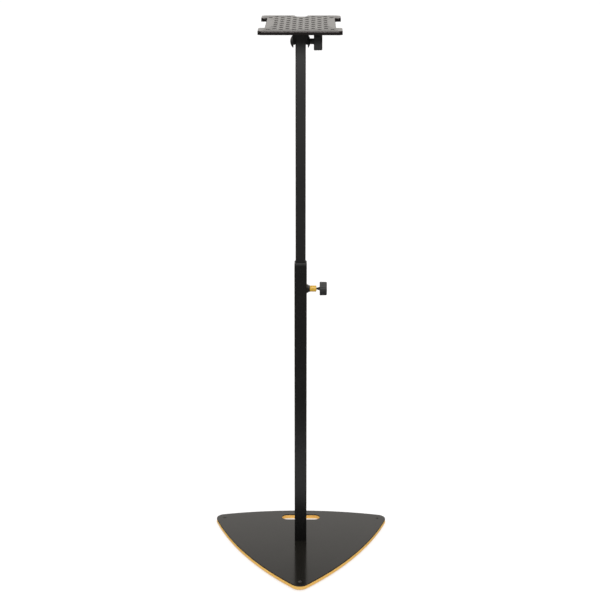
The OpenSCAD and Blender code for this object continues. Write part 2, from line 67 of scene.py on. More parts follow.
class Wire:
    """A shader socket that takes part in Python arithmetic: each operator adds one Math node."""

    def __init__(self, socket):
        self.socket = socket

    def node(self, kind, settings=(), inputs=(), out=0):
        """Adds a node, applies its settings, then fills its inputs, and returns the chosen output."""
        made = self.socket.id_data.nodes.new("ShaderNode" + kind)
        for key, value in dict(settings).items():
            setattr(made, key, value)
        for key, value in dict(inputs).items():
            plug(made.inputs[key], value)
        return Wire(made.outputs[out])

    def math(self, operation, first, second):
        return self.node("Math", {"operation": operation}, {0: first, 1: second})

    def __add__(self, other):
        return self.math("ADD", self, other)

    def __radd__(self, other):
        return self.math("ADD", other, self)

    def __sub__(self, other):
        return self.math("SUBTRACT", self, other)

    def __rsub__(self, other):
        return self.math("SUBTRACT", other, self)

    def __mul__(self, other):
        return self.math("MULTIPLY", self, other)

    def __rmul__(self, other):
        return self.math("MULTIPLY", other, self)

    def noise(self, scale, detail=2.0, stretch=(1, 1, 1)):
        """Cloudy value from 0 to 1, with the given number of clouds to the metre."""
        place = self.node("Mapping", inputs={"Vector": self, "Scale": stretch})
        return self.node("TexNoise", inputs={"Vector": place, "Scale": scale, "Detail": detail})

    def between(self, low, high):
        """0 below low, 1 above high and a straight climb from one to the other."""
        return self.node("MapRange", inputs={"Value": self, "From Min": low, "From Max": high})

    def blend(self, first, second):
        """Colour that goes from first to second as this value goes from 0 to 1."""
        sockets = {"Factor": self, 6: first, 7: second}
        return self.node("Mix", {"data_type": "RGBA"}, sockets, out=2)

    def bump(self, depth, strength=1.0):
        """Normal of a surface raised by this value times depth, in metres."""
        return self.node("Bump", inputs={"Height": self, "Distance": depth, "Strength": strength})


def plug(socket, value):
    """Links a wire to a socket, or sets the socket to a number or colour."""
    if isinstance(value, Wire):
        socket.id_data.links.new(socket, value.socket)
    elif hasattr(socket.default_value, "__len__") and len(socket.default_value) == len(value) + 1:
        socket.default_value = (*value, 1)
    else:
        socket.default_value = value


def finish(name, constants):
    """A new material with its constants set on the shader, and the wire of its Object coordinates."""
    material = bpy.data.materials.new(name)
    material.use_nodes = True
    tree = material.node_tree
    shader = tree.nodes["Principled BSDF"]
    for key, value in constants.items():
        plug(shader.inputs[key], value)
    place = Wire(tree.nodes.new("ShaderNodeTexCoord").outputs["Object"])
    return material, shader, place


def lacquered_board():
    """Amber lacquer over fibre board: layers lie along the edge, with a thin clear gloss on top."""
    material, shader, place = finish(
        "lacquered_board", {"Coat Weight": 0.3, "Coat Roughness": 0.25, "IOR": 1.5}
    )
    layers = place.noise(26, 4, (1, 1, 24))
    fibres = place.noise(700, 3, (1, 1, 3))
    tone = layers * 0.75 + fibres * 0.25
    plug(shader.inputs["Base Color"], tone.between(0.3, 0.7).blend(board_amber, board_honey))
    plug(shader.inputs["Roughness"], 0.36 + (fibres - 0.5) * 0.16)
    plug(shader.inputs["Normal"], (layers * 0.4 + fibres).bump(0.12 * MM, 0.35))
    return material


def box(node):
    """Lowest and highest corner of a node, as arrays."""
    low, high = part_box(node)
    return np.array(low), np.array(high)


def turn_to(start, end):
    """Angle from start to end by the short way."""
    return (end - start + math.pi) % (2 * math.pi) - math.pi


def eased(corners, steps=8):
    """Closed outline through corners (x, y, r): each is the arc of radius r that touches both sides. Its
    centre lies inside, r / sin(half the corner's angle) from the corner."""
    corners = np.asarray(corners, float)
    at, r = corners[:, :2], corners[:, 2:]
    back, ahead = np.roll(at, 1, 0) - at, np.roll(at, -1, 0) - at
    back /= np.linalg.norm(back, axis=1, keepdims=True)
    ahead /= np.linalg.norm(ahead, axis=1, keepdims=True)
    half = np.arccos(np.clip((back * ahead).sum(1, keepdims=True), -1, 1)) / 2
    middle = back + ahead
    middle /= np.linalg.norm(middle, axis=1, keepdims=True)
    centre = at + middle * r / np.sin(half)
    first = at + back * r / np.tan(half) - centre
    last = at + ahead * r / np.tan(half) - centre
    start = np.arctan2(first[:, 1], first[:, 0])
    sweep = turn_to(start, np.arctan2(last[:, 1], last[:, 0]))
    angle = start[:, None] + sweep[:, None] * np.linspace(0, 1, steps + 1)
    arc = np.stack([np.cos(angle), np.sin(angle)], -1)
    return (centre[:, None] + r[:, None] * arc).reshape(-1, 2)


def circle(radius, centre=(0, 0), around=48):
    """Ring of points at the given radius about a centre."""
    angle = np.linspace(0, 2 * math.pi, around, endpoint=False)
    return np.array(centre) + radius * np.stack([np.cos(angle), np.sin(angle)], -1)


def bowed_outline(inset, side_steps=40, corner_steps=16):
    """Triangle of three arcs joined by round corners, all drawn in by inset. A side's centre lies to_centre
    behind the middle. A corner's centre lies out from the middle, at bow - round_r from the centres of
    both its sides."""
    reach, bow, round_r = side_reach - inset, side_radius - inset, corner_radius - inset
    to_centre = bow - reach
    out = (math.sqrt(4 * (bow - round_r) ** 2 - 3 * to_centre**2) - to_centre) / 2
    half = math.atan2(out * math.sin(math.pi / 3), out * math.cos(math.pi / 3) + to_centre)
    arms = np.radians([-30, 90, 210])[:, None]
    tips = arms + math.pi / 3
    along = arms + np.linspace(-half, half, side_steps, endpoint=False)
    round_ = arms + half + np.linspace(0, 2 * math.pi / 3 - 2 * half, corner_steps, endpoint=False)
    sides = np.stack([bow * np.cos(along) - to_centre * np.cos(arms),
                      bow * np.sin(along) - to_centre * np.sin(arms)], -1)
    ends = np.stack([round_r * np.cos(round_) + out * np.cos(tips),
                     round_r * np.sin(round_) + out * np.sin(tips)], -1)
    return np.concatenate([sides, ends], 1).reshape(-1, 2)


def slot_outline(grow=0.0):
    """Hand slot grown by the given amount. Its ends are half round but for a thousandth of the radius,
    so that no two of their points fall together."""
    w, h = slot_length / 2 + grow, slot_width / 2 + grow
    round_r = h * 0.999
    corners = [(w, h, round_r), (-w, h, round_r), (-w, -h, round_r), (w, -h, round_r)]
    return eased(corners, 16) + np.array([0, slot_behind])


def lifted(outline, height, origin=(0, 0, 0)):
    """An outline laid level at the given height over an origin."""
    level = np.full((len(outline), 1), height)
    return np.concatenate([outline, level], 1) + np.array(origin)


def wall(rings, closed_stack=False):
    """Surface through a stack of equal rings: its point (i, j) is the j-th point of ring i."""
    rings = np.asarray(rings)
    stack, around = rings.shape[:2]
    i, j = np.meshgrid(np.arange(stack if closed_stack else stack - 1), np.arange(around), indexing="ij")
    up, on = (i + 1) % stack, (j + 1) % around
    quads = np.stack([i * around + j, i * around + on, up * around + on, up * around + j], -1)
    return rings.reshape(-1, 3), quads.reshape(-1, 4)


def level_face(loops, height, origin=(0, 0, 0)):
    """Level face inside the first loop and outside the others, cut into triangles between the loops."""
    points = np.concatenate(loops)
    owner = np.repeat(np.arange(len(loops)), [len(loop) for loop in loops])
    starts = np.searchsorted(owner, np.arange(len(loops)))
    edges = [(int(s + k), int(s + (k + 1) % len(loop)))
             for s, loop in zip(starts, loops) for k in range(len(loop))]
    outer = list(range(len(loops[0])))
    inside_only = 1
    tolerance = 1e-9
    made = delaunay_2d_cdt([Vector(p) for p in points], edges, [outer], inside_only, tolerance)
    triangles = np.array(made[2])
    owners = owner[triangles]
    in_hole = (owners == owners[:, :1]).all(1) & (owners[:, 0] > 0)
    return lifted(points, height, origin), triangles[~in_hole]


def piece(name, parts, material, body, slot, *stands_for, sharp=32):
    """Welds surfaces into one closed mesh, smooth but for its sharp edges, and hangs it on its body."""
    starts = np.cumsum([0] + [len(points) for points, _ in parts])
    points = np.concatenate([points for points, _ in parts])
    faces = [face for (_, some), start in zip(parts, starts) for face in (some + start).tolist()]
    mesh = bpy.data.meshes.new(name)
    mesh.from_pydata(points.tolist(), [], faces)
    work = bmesh.new()
    work.from_mesh(mesh)
    bmesh.ops.remove_doubles(work, verts=work.verts, dist=0.002 * MM)
    bmesh.ops.dissolve_degenerate(work, edges=work.edges, dist=0.001 * MM)
    bmesh.ops.recalc_face_normals(work, faces=work.faces)
    work.to_mesh(mesh)
    work.free()
    mesh.shade_smooth()
    mesh.set_sharp_from_angle(angle=math.radians(sharp))
    mesh.materials.append(material)
    made = bpy.data.objects.new(name, mesh)
    bpy.context.scene.collection.objects.link(made)
    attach(made, body)
    if stands_for:
        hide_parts(*stands_for)
    return made


def arris(radius, face, turn, steps=5):
    """Quarter round of a profile (inset, height), from the upright wall to the level face: its inset is
    r (1 - cos a), and it is r (1 - sin a) above the face where turn is 1, or below it where turn is -1."""
    angle = math.pi / 2 * np.linspace(0, 1, steps + 1)
    return list(zip(radius * (1 - np.cos(angle)), face + turn * radius * (1 - np.sin(angle))))


board_low, board_high = box("base_board")
column_y = board_high[1] - side_reach
board_floor = np.array([0, column_y, board_low[2]])
board_t = board_high[2] - board_low[2]
washer_low, washer_high = box("column_washer")
recess_r = (washer_high[0] - washer_low[0]) / 2 + 0.1 * MM
recess_h = washer_high[2] - board_low[2]
bolt_hole_r = 5.2 * MM
hold = 0.4 * MM
board_profile = (
    [(board_low_arris + hold, 0)]
    + arris(board_low_arris, 0, 1, 8)[::-1]
    + arris(board_top_arris, board_t, -1)
    + [(board_top_arris + hold, board_t)]
)
board_skin = wall([lifted(bowed_outline(i), h, board_floor) for i, h in board_profile])
board_slot_profile = [(slot_low_arris, 0), (0, slot_low_arris), (0, board_t)]
board_slot = wall([lifted(slot_outline(g), h, board_floor) for g, h in board_slot_profile])
recess_profile = [(recess_r, 0), (recess_r, recess_h), (bolt_hole_r, recess_h), (bolt_hole_r, board_t)]
recess = wall([lifted(circle(r), h, board_floor) for r, h in recess_profile])
board_under = level_face(
    [bowed_outline(board_low_arris + hold), slot_outline(slot_low_arris), circle(recess_r)], 0, board_floor)
board_over = level_face(
    [bowed_outline(board_top_arris + hold), slot_outline(), circle(bolt_hole_r)], board_t, board_floor)
piece("board_body", [board_skin, board_slot, recess, board_under, board_over],
      lacquered_board(), "base", "accent_board", "base_board")


# Top sheet. A 3 mm steel plate of the same outline, powder coated satin black, with its edges broken.
# Three countersunk screws hold it to the board, one near each corner.
sheet_charcoal = (0.0085, 0.0080, 0.0068)
sheet_arris = 0.3 * MM


def powder_coat(name, colour, roughness, depth=0.05, uneven=0.06, tint=(1, 1, 1)):
    """Baked powder: a fine orange peel, and broad faint clouds in tone and sheen. The tint is the
    colour of its gloss."""
    material, shader, place = finish(name, {"IOR": 1.5, "Specular Tint": tint})
    peel = place.noise(1300, 2)
    cloud = place.noise(11, 3)
    dark = tuple(0.86 * c for c in colour)
    light = tuple(1.16 * c for c in colour)
    tone = cloud * 0.7 + peel * 0.3
    plug(shader.inputs["Base Color"], tone.between(0.3, 0.7).blend(dark, light))
    plug(shader.inputs["Roughness"], roughness + (cloud - 0.5) * uneven + (peel - 0.5) * uneven)
    plug(shader.inputs["Normal"], peel.bump(depth * MM, 0.5))
    return material


sheet_low, sheet_high = box("base_top_sheet")
sheet_floor = np.array([0, column_y, sheet_low[2]])
sheet_t = sheet_high[2] - sheet_low[2]
screw_low, screw_high = box("corner_screws")
screw_head_r = 5.25 * MM
screw_r = (column_y - screw_low[1]) - screw_head_r
screw_arms = np.radians([-90, 30, 150])
screw_spots = screw_r * np.stack([np.cos(screw_arms), np.sin(screw_arms)], -1)
sink_r = screw_head_r + 0.2 * MM
sink_low_r = 2.6 * MM
sink_h = sink_r - sink_low_r
sheet_profile = [(hold, 0), (0, hold)] + arris(sheet_arris, sheet_t, -1) + [(sheet_arris + hold, sheet_t)]
sheet_skin = wall([lifted(bowed_outline(i), h, sheet_floor) for i, h in sheet_profile])
sheet_slot_profile = [(0, 0), (0, sheet_t - sheet_arris), (sheet_arris / 2, sheet_t - sheet_arris / 2),
                      (sheet_arris, sheet_t), (sheet_arris + hold, sheet_t)]
sheet_slot = wall([lifted(slot_outline(g), h, sheet_floor) for g, h in sheet_slot_profile])
sink_profile = [(sink_low_r, 0), (sink_low_r, sheet_t - sink_h), (sink_r, sheet_t)]
sinks = [wall([lifted(circle(r, spot), h, sheet_floor) for r, h in sink_profile]) for spot in screw_spots]
sheet_under = level_face(
    [bowed_outline(hold), slot_outline()] + [circle(sink_low_r, s) for s in screw_spots], 0, sheet_floor)
sheet_over = level_face(
    [bowed_outline(sheet_arris + hold), slot_outline(sheet_arris + hold)]
    + [circle(sink_r, s) for s in screw_spots], sheet_t, sheet_floor)
sheet_coat = powder_coat("satin_sheet_coat", sheet_charcoal, 0.13, depth=0.006, uneven=0.03)
piece("top_sheet_body", [sheet_skin, sheet_slot, *sinks, sheet_under, sheet_over],
      sheet_coat, "base", "black_sheet", "base_top_sheet")


# Corner screws. Blackened steel with a countersunk head and a hexagon socket, driven flush with the
# sheet. They go through it into the board.
def blackened_steel(name, colour=(0.035, 0.034, 0.033)):
    """Steel with a thin black oxide, a little browner and shinier where it was handled."""
    material, shader, place = finish(name, {"Metallic": 0.85})
    film = place.noise(420, 3)
    rubbed = tuple(1.8 * c for c in colour)
    plug(shader.inputs["Base Color"], film.between(0.35, 0.75).blend(colour, rubbed))
    plug(shader.inputs["Roughness"], 0.34 + film * 0.16)
    plug(shader.inputs["Normal"], film.bump(0.02 * MM, 0.4))
    return material


def hexagon(across, centre=(0, 0), around=48):
    """Ring of points on a hexagon: its radius is across / 2 over the cosine from the nearest flat."""
    angle = np.linspace(0, 2 * math.pi, around, endpoint=False)
    off_flat = angle % (math.pi / 3) - math.pi / 6
    r = across / 2 / np.cos(off_flat)
    return np.array(centre) + r[:, None] * np.stack([np.cos(angle), np.sin(angle)], -1)


def screw_rings(spot):
    """Screw from its point upwards: shank, cone, the head's rounded edge, then down into the socket."""
    return [(circle(0, spot), -screw_tail), (circle(screw_shank_r, spot), -screw_tail),
            (circle(screw_shank_r, spot), screw_shank_r - screw_head_r),
            (circle(screw_head_r - 0.3 * MM, spot), -head_below - 0.3 * MM),
            (circle(screw_head_r - 0.1 * MM, spot), -head_below - 0.1 * MM),
            (circle(screw_head_r - 0.5 * MM, spot), -head_below),
            (hexagon(socket_across + socket_lead, spot), -head_below),
            (hexagon(socket_across, spot), -head_below - socket_lead / 2),
            (hexagon(socket_across, spot), -socket_h), (circle(0, spot), -socket_h)]


socket_across = 3.5 * MM
socket_lead = 0.5 * MM
socket_h = 1.7 * MM
head_below = 0.05 * MM
screw_shank_r = 2.5 * MM
screw_tail = screw_high[2] - screw_low[2]
screw_top = np.array([0, column_y, screw_high[2]])
screw_parts = [wall([lifted(ring, h, screw_top) for ring, h in screw_rings(spot)]) for spot in screw_spots]
piece("corner_screw_set", screw_parts, blackened_steel("blackened_screws"),
      "base", "black_screws", "corner_screws")


# Rubber pads, column bolt and its washer, under the board. The pads are glued on below the corners.
# The bolt comes up through a recess in the board and pulls the column down on the sheet.
def turned(profile, start, axis, around=96, radius_at=None):
    """Turned surface: a closed profile of (distance, radius) swept round an axis through start.
    Where radius_at is given, the radius is worked out from the angle and the profile's own radius."""
    profile = np.asarray(profile)
    angle = np.linspace(0, 2 * math.pi, around, endpoint=False)
    r = np.repeat(profile[:, 1:], around, 1)
    if radius_at:
        r = radius_at(angle[None, :], profile[:, :1], r)
    axis = np.array(axis, float)
    side = np.roll(axis, 1)
    other = np.cross(axis, side)
    ring = np.cos(angle)[:, None] * side + np.sin(angle)[:, None] * other
    points = np.array(start) + profile[:, None, :1] * axis + r[:, :, None] * ring
    return wall(points, closed_stack=True)


def soft_rubber():
    """Matt black rubber with a fine moulded grain and a trace of dust."""
    material, shader, place = finish("pad_rubber", {"IOR": 1.45})
    grain = place.noise(900, 2)
    dust = place.noise(60, 3)
    clean, dusty = (0.022, 0.022, 0.022), (0.05, 0.049, 0.046)
    plug(shader.inputs["Base Color"], dust.between(0.4, 0.8).blend(clean, dusty))
    plug(shader.inputs["Roughness"], 0.72 + grain * 0.16)
    plug(shader.inputs["Normal"], grain.bump(0.08 * MM, 0.6))
    return material


def zinc_plate(name):
    """Bright zinc: pale grey metal, with faint turning marks round it and soft spots."""
    material, shader, place = finish(name, {"Metallic": 1.0})
    spots = place.noise(160, 3)
    marks = place.noise(2600, 1)
    dull, bright = (0.50, 0.51, 0.53), (0.66, 0.67, 0.68)
    plug(shader.inputs["Base Color"], spots.between(0.3, 0.7).blend(dull, bright))
    plug(shader.inputs["Roughness"], 0.30 + spots * 0.14)
    plug(shader.inputs["Normal"], marks.bump(0.015 * MM, 0.4))
    return material


UPWARDS = (0, 0, 1)
pad_low, pad_high = box("rubber_pads")
pad_r = 12 * MM
pad_h = pad_high[2] - pad_low[2]
pad_out = (column_y - pad_low[1]) - pad_r
pad_spots = pad_out * np.stack([np.cos(screw_arms), np.sin(screw_arms)], -1)
pad_profile = eased([(0, 0, 0), (0, pad_r - pad_h / 3, 0.3 * MM), (pad_h * 0.55, pad_r, 0.6 * MM),
                     (pad_h, pad_r, 0.1 * MM), (pad_h, 0, 0)], 4)
pad_parts = [turned(pad_profile, (x, column_y + y, pad_low[2]), UPWARDS) for x, y in pad_spots]
piece("floor_pads", pad_parts, soft_rubber(), "base", "rubber_pads", "rubber_pads")

bolt_low, bolt_high = box("column_bolt")
bolt_length = bolt_high[2] - bolt_low[2]
bolt_head_r = (bolt_high[0] - bolt_low[0]) / 2
bolt_head_h = washer_low[2] - bolt_low[2]
bolt_foot = np.array([0, column_y, bolt_low[2]])
bolt_shank_r = 5 * MM
bolt_socket = 7 * MM
bolt_socket_h = 3 * MM
bolt_rings = [(circle(0), bolt_socket_h), (hexagon(bolt_socket), bolt_socket_h),
              (hexagon(bolt_socket), 0.3 * MM), (hexagon(bolt_socket + 0.8 * MM), 0),
              (circle(bolt_head_r - 1.2 * MM), 0), (circle(bolt_head_r - 0.3 * MM), 0.8 * MM),
              (circle(bolt_head_r), 2.2 * MM), (circle(bolt_head_r), bolt_head_h),
              (circle(bolt_shank_r), bolt_head_h), (circle(bolt_shank_r), bolt_length),
              (circle(0), bolt_length)]
piece("column_bolt_body", [wall([lifted(ring, h, bolt_foot) for ring, h in bolt_rings])],
      zinc_plate("zinc_bolt"), "base", "column_bolt", "column_bolt")

washer_r = (washer_high[0] - washer_low[0]) / 2
washer_t = washer_high[2] - washer_low[2]
washer_bore_r = bolt_shank_r + 0.1 * MM
washer_profile = eased([(0, washer_bore_r, 0.2 * MM), (0, washer_r, 0.4 * MM),
                        (washer_t, washer_r, 0.4 * MM), (washer_t, washer_bore_r, 0.2 * MM)], 3)
piece("column_washer_body", [turned(washer_profile, (0, column_y, washer_low[2]), UPWARDS)],
      zinc_plate("zinc_washer"), "base", "column_washer", "column_washer")


# Lower tube. Square welded steel tube with rounded corners, powder coated like the rest, and
# bolted down on the sheet by the plug in its foot.
tube_black = (0.0062, 0.0062, 0.0060)
tube_corner = 3 * MM
tube_wall = 2 * MM


def square_ring(width, corner, steps=8):
    """Square of the given width with round corners."""
    h = width / 2
    return eased([(h, h, corner), (-h, h, corner), (-h, -h, corner), (h, -h, corner)], steps)


def square_tube(node, wall_t, corner, arris_r=0.35 * MM):
    """Tube between the node's two ends: rounded squares up the outside and down the inside."""
    low, high = box(node)
    width, length = high[0] - low[0], high[2] - low[2]
    foot = np.array([(low[0] + high[0]) / 2, (low[1] + high[1]) / 2, low[2]])
    inner = width - 2 * wall_t
    inner_corner = corner - wall_t + arris_r
    stack = [(width - 2 * arris_r, corner, 0), (width, corner, arris_r), (width, corner, length - arris_r),
             (width - 2 * arris_r, corner, length), (inner + 2 * arris_r, inner_corner + arris_r, length),
             (inner, inner_corner, length - arris_r), (inner, inner_corner, arris_r),
             (inner + 2 * arris_r, inner_corner + arris_r, 0)]
    return wall([lifted(square_ring(w, c), h, foot) for w, c, h in stack], closed_stack=True)


tube_coat = powder_coat("lower_tube_coat", tube_black, 0.27, depth=0.01, uneven=0.03)
piece("lower_tube_body", [square_tube("lower_tube", tube_wall, tube_corner)],
      tube_coat, "base", "lower_tube", "lower_tube")


# Foot plug. A threaded steel block welded inside the foot of the tube, bare and out of sight.
# The column bolt screws into it.
def dress(node, coat):
    """Gives a CAD node that keeps its own shape a material."""
    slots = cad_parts[node].data.materials
    slots.clear()
    slots.append(coat)


dress("foot_plug", zinc_plate("plug_steel"))


# Guide collar. Moulded black nylon, pushed into the top of the lower tube. Its rounded flange covers
# the tube's end and its window guides the upper tube.
def moulded_plastic(name, colour, roughness=0.42, grain=1500, depth=0.06):
    """Moulded plastic: a fine spark-eroded grain and slow changes of sheen from the mould's flow."""
    material, shader, place = finish(name, {"IOR": 1.47})
    spark = place.noise(grain, 2)
    flow = place.noise(45, 2)
    light = tuple(1.3 * c for c in colour)
    plug(shader.inputs["Base Color"], (flow * 0.5 + spark * 0.5).between(0.3, 0.7).blend(colour, light))
    plug(shader.inputs["Roughness"], roughness + (flow - 0.5) * 0.12 + (spark - 0.5) * 0.10)
    plug(shader.inputs["Normal"], spark.bump(depth * MM, 0.5))
    return material


collar_low, collar_high = box("guide_collar")
tube_low, tube_high = box("lower_tube")
upper_low, upper_high = box("upper_tube")
collar_w = collar_high[0] - collar_low[0]
collar_corner = 3 * MM
collar_round = 1.9 * MM
flange_h = collar_high[2] - tube_high[2]
window_gap = 0.3 * MM
window_w = upper_high[0] - upper_low[0] + 2 * window_gap
window_corner = 2.2 * MM
window_lip = 0.5 * MM
skirt_gap = 0.1 * MM
skirt_w = tube_high[0] - tube_low[0] - 2 * (tube_wall + skirt_gap)
skirt_h = tube_high[2] - collar_low[2]
collar_stack = (
    [(collar_w, collar_corner, 0)]
    + [(collar_w - 2 * inset, collar_corner, h) for inset, h in arris(collar_round, flange_h, -1)]
    + [(window_w + 2 * window_lip, window_corner + 0.3 * MM, flange_h),
       (window_w, window_corner, flange_h - window_lip), (window_w, window_corner, -skirt_h),
       (skirt_w, window_corner, -skirt_h), (skirt_w, window_corner, 0)]
)
collar_seat = np.array([0, column_y, tube_high[2]])
collar_rings = [lifted(square_ring(w, c), h, collar_seat) for w, c, h in collar_stack]
piece("guide_collar_body", [wall(collar_rings, closed_stack=True)],
      moulded_plastic("collar_nylon", (0.012, 0.012, 0.012), 0.38), "base", "guide_collar", "guide_collar")


# Height clamp: a black steel boss welded on the tube's side, and a yellow nylon bush screwed into it.
# The stud of the hand knob runs through both and presses a nylon pad on the upper tube.
ACROSS = (1, 0, 0)
boss_low, boss_high = box("clamp_boss")
clamp_axis = np.array([0, column_y, (boss_low[2] + boss_high[2]) / 2])
boss_r = (boss_high[2] - boss_low[2]) / 2
boss_tip_r = 9.2 * MM
boss_land = 1.2 * MM
spigot_r = 6 * MM
boss_profile = eased([(boss_low[0], spigot_r, 0), (boss_low[0], boss_r, 0.1 * MM),
                      (boss_low[0] + boss_land, boss_r - 0.25 * MM, 0.8 * MM),
                      (boss_high[0], boss_tip_r, 0.6 * MM), (boss_high[0], spigot_r, 0)], 4)
boss_coat = powder_coat("boss_coat", tube_black, 0.32)
piece("clamp_boss_body", [turned(boss_profile, clamp_axis, ACROSS)],
      boss_coat, "base", "clamp_boss", "clamp_boss")

weld_drops = 26
weld_ripple = 0.15 * MM
weld_length = 4.6 * MM
weld_root_r = boss_r - 0.6 * MM
weld_profile = eased([(boss_low[0], weld_root_r, 0), (boss_low[0], boss_r + 2.2 * MM, 0.3 * MM),
                      (boss_low[0] + 1.8 * MM, boss_r + 1.2 * MM, 2.0 * MM),
                      (boss_low[0] + weld_length, boss_r + 0.1 * MM, 0.3 * MM),
                      (boss_low[0] + weld_length, weld_root_r, 0)], 4)


def rippled(angle, distance, r):
    """Weld bead: its outer radius swells and shrinks a little, once for each drop of weld."""
    return np.where(r > boss_r, r + weld_ripple * np.cos(weld_drops * angle), r)


piece("clamp_boss_weld", [turned(weld_profile, clamp_axis, ACROSS, weld_drops * 8, rippled)],
      boss_coat, "base", "clamp_boss")

bush_low, bush_high = box("clamp_bush")
bush_r = (bush_high[2] - bush_low[2]) / 2
pad_bore_r = 4.75 * MM
pad_bore_end = bush_low[0] + 6 * MM
stud_bore_r = 3.05 * MM
bush_profile = eased([(bush_low[0], pad_bore_r, 0), (bush_low[0], spigot_r, 0.1 * MM),
                      (boss_high[0], spigot_r, 0), (boss_high[0], bush_r, 0.9 * MM),
                      (bush_high[0], bush_r, 1.1 * MM), (bush_high[0], stud_bore_r, 0.3 * MM),
                      (pad_bore_end, stud_bore_r, 0), (pad_bore_end, pad_bore_r, 0)], 5)
piece("clamp_bush_body", [turned(bush_profile, clamp_axis, ACROSS)],
      moulded_plastic("bush_yellow", (0.47, 0.28, 0.025), 0.36), "base", "clamp_bush", "clamp_bush")

nylon_white = (0.62, 0.60, 0.54)
dress("clamp_pad", moulded_plastic("pad_nylon", nylon_white, 0.45))


# Clamp screw: a blackened M6 stud moulded into a hand knob. The knob has a tapered neck, grip
# flutes all round and a shallow dish in its face.
def threaded(angle, distance, r):
    """Thread: the radius falls and climbs along a helix, one pitch for each turn of the angle."""
    wave = np.abs((distance / thread_pitch - angle / (2 * math.pi)) % 1 - 0.5) * 2
    return np.where(r > thread_depth * 2, r - thread_depth * (1 - wave), r)


def fluted(rim_r, from_):
    """Radius rule of a knob's grip from the distance from_ on: the lesser of the profile's radius and a
    flute. A flute is a round cut of radius f, with its centre c off the axis, and so its near side at the
    angle a from its middle is c cos a - sqrt(f^2 - (c sin a)^2)."""
    flute_r = flute_share * rim_r
    centre = rim_r + flute_r - flute_depth

    def grip(angle, distance, r):
        off = (angle + math.pi / flutes) % (2 * math.pi / flutes) - math.pi / flutes
        inside = np.maximum(flute_r**2 - (centre * np.sin(off)) ** 2, 0)
        cut = np.where(inside > 0, centre * np.cos(off) - np.sqrt(inside), np.inf)
        return np.where((distance > from_) & (r > 0.8 * rim_r), np.minimum(r, cut), r)

    return grip


def grip_profile(start, end, rim_r):
    """Outline of a hand knob from its inner face round the rim to the dish in its outer face."""
    return [(start, rim_r - chamfer, 0.6 * MM), (start + chamfer, rim_r, 0.9 * MM),
            (end - chamfer, rim_r - chamfer / 4, 0.9 * MM), (end, rim_r - 1.25 * chamfer, 0.6 * MM),
            (end, 0.7 * rim_r, 0.4 * MM), (end - dish, 0.58 * rim_r, 0.6 * MM)]


thread_pitch = 1.0 * MM
thread_depth = 0.45 * MM
stud_low, stud_high = box("clamp_stud")
stud_r = (stud_high[2] - stud_low[2]) / 2
stud_tip_r = 2 * MM
stud_shoulder = stud_low[0] + 2.1 * MM
stud_run = np.arange(stud_shoulder, stud_high[0], thread_pitch / 8)
stud_profile = np.array(
    [(stud_low[0], 0), (stud_low[0], stud_tip_r), (stud_shoulder, stud_tip_r)]
    + [(a, stud_r) for a in stud_run] + [(stud_high[0], stud_r), (stud_high[0], 0)])
piece("clamp_stud_body", [turned(stud_profile, clamp_axis, ACROSS, 40, threaded)],
      blackened_steel("blackened_stud"), "clamp_screw", "clamp_stud", "clamp_stud")

flutes = 18
flute_share = 0.18
flute_depth = 0.9 * MM
grip_around = flutes * 16
chamfer = 1.6 * MM
dish = 1.5 * MM
knob_low, knob_high = box("clamp_knob")
knob_end = knob_high[0]
knob_r = 19.3 * MM
neck_length = 9.3 * MM
knob_grip = bush_high[0] + neck_length
knob_bore_r = stud_r + 0.02 * MM
knob_bore_end = knob_end - dish - 5 * MM
neck_profile = [(knob_low[0], knob_bore_r, 0), (knob_low[0], stud_r + 0.8 * MM, 0.2 * MM),
                (knob_grip - 1 * MM, 4.2 * MM, 0.8 * MM), (knob_grip, 6.0 * MM, 0.6 * MM)]
clamp_knob_profile = eased(
    neck_profile + grip_profile(knob_grip, knob_end, knob_r)
    + [(knob_end - dish, 0, 0), (knob_bore_end, 0, 0), (knob_bore_end, knob_bore_r, 0)], 4)
clamp_knob_surface = turned(clamp_knob_profile, clamp_axis, ACROSS, grip_around, fluted(knob_r, knob_grip))
piece("clamp_knob_body", [clamp_knob_surface],
      moulded_plastic("knob_plastic", (0.012, 0.012, 0.012), 0.55, 1100, 0.08),
      "clamp_screw", "clamp_knob", "clamp_knob")


# Upper tube, with a nylon shoe at its foot that runs in the lower tube and a plastic plug in its top
# that closes it and carries the tilt bolt.
upper_black = (0.0075, 0.0070, 0.0069)
upper_corner = 2.5 * MM
upper_wall = 1.5 * MM
upper_coat = powder_coat("upper_tube_coat", upper_black, 0.42, depth=0.02)
piece("upper_tube_body", [square_tube("upper_tube", upper_wall, upper_corner)],
      upper_coat, "upper_column", "upper_tube", "upper_tube")

dress("slide_shoe", moulded_plastic("shoe_nylon", nylon_white, 0.45))
dress("top_plug", moulded_plastic("plug_black", (0.020, 0.020, 0.020), 0.42))


# Tray. One sheet of 1.5 mm steel: punched with a staggered lattice of holes, notched at the sides and
# the back, its rim turned down all round over a small radius, then powder coated.
tray_black = (0.0035, 0.0030, 0.0028)
tray_tint = (1.0, 0.93, 0.90)
tray_low, tray_high = box("tray")
tray_w = tray_high[0] - tray_low[0]
tray_d = tray_high[1] - tray_low[1]
tray_t = 1.5 * MM
lip_h = tray_high[2] - tray_low[2]
bend_r = 2.6 * MM
edge_r = 0.15 * MM
tray_corner = 12 * MM
ear_corner = 6 * MM
side_notch_in = 16.5 * MM
side_notch_length = 218 * MM
side_notch_behind = 4 * MM
side_notch_corner = 5 * MM
back_notch_mouth = 18 * MM
back_notch_floor = 11 * MM
back_notch_depth = 28 * MM
back_notch_corner = 7 * MM
hole_r = 5 * MM
hole_burr = 0.1 * MM
hole_pitch = np.array([16.8 * MM, 21.6 * MM])
hole_rows = 14
edge_column = 5


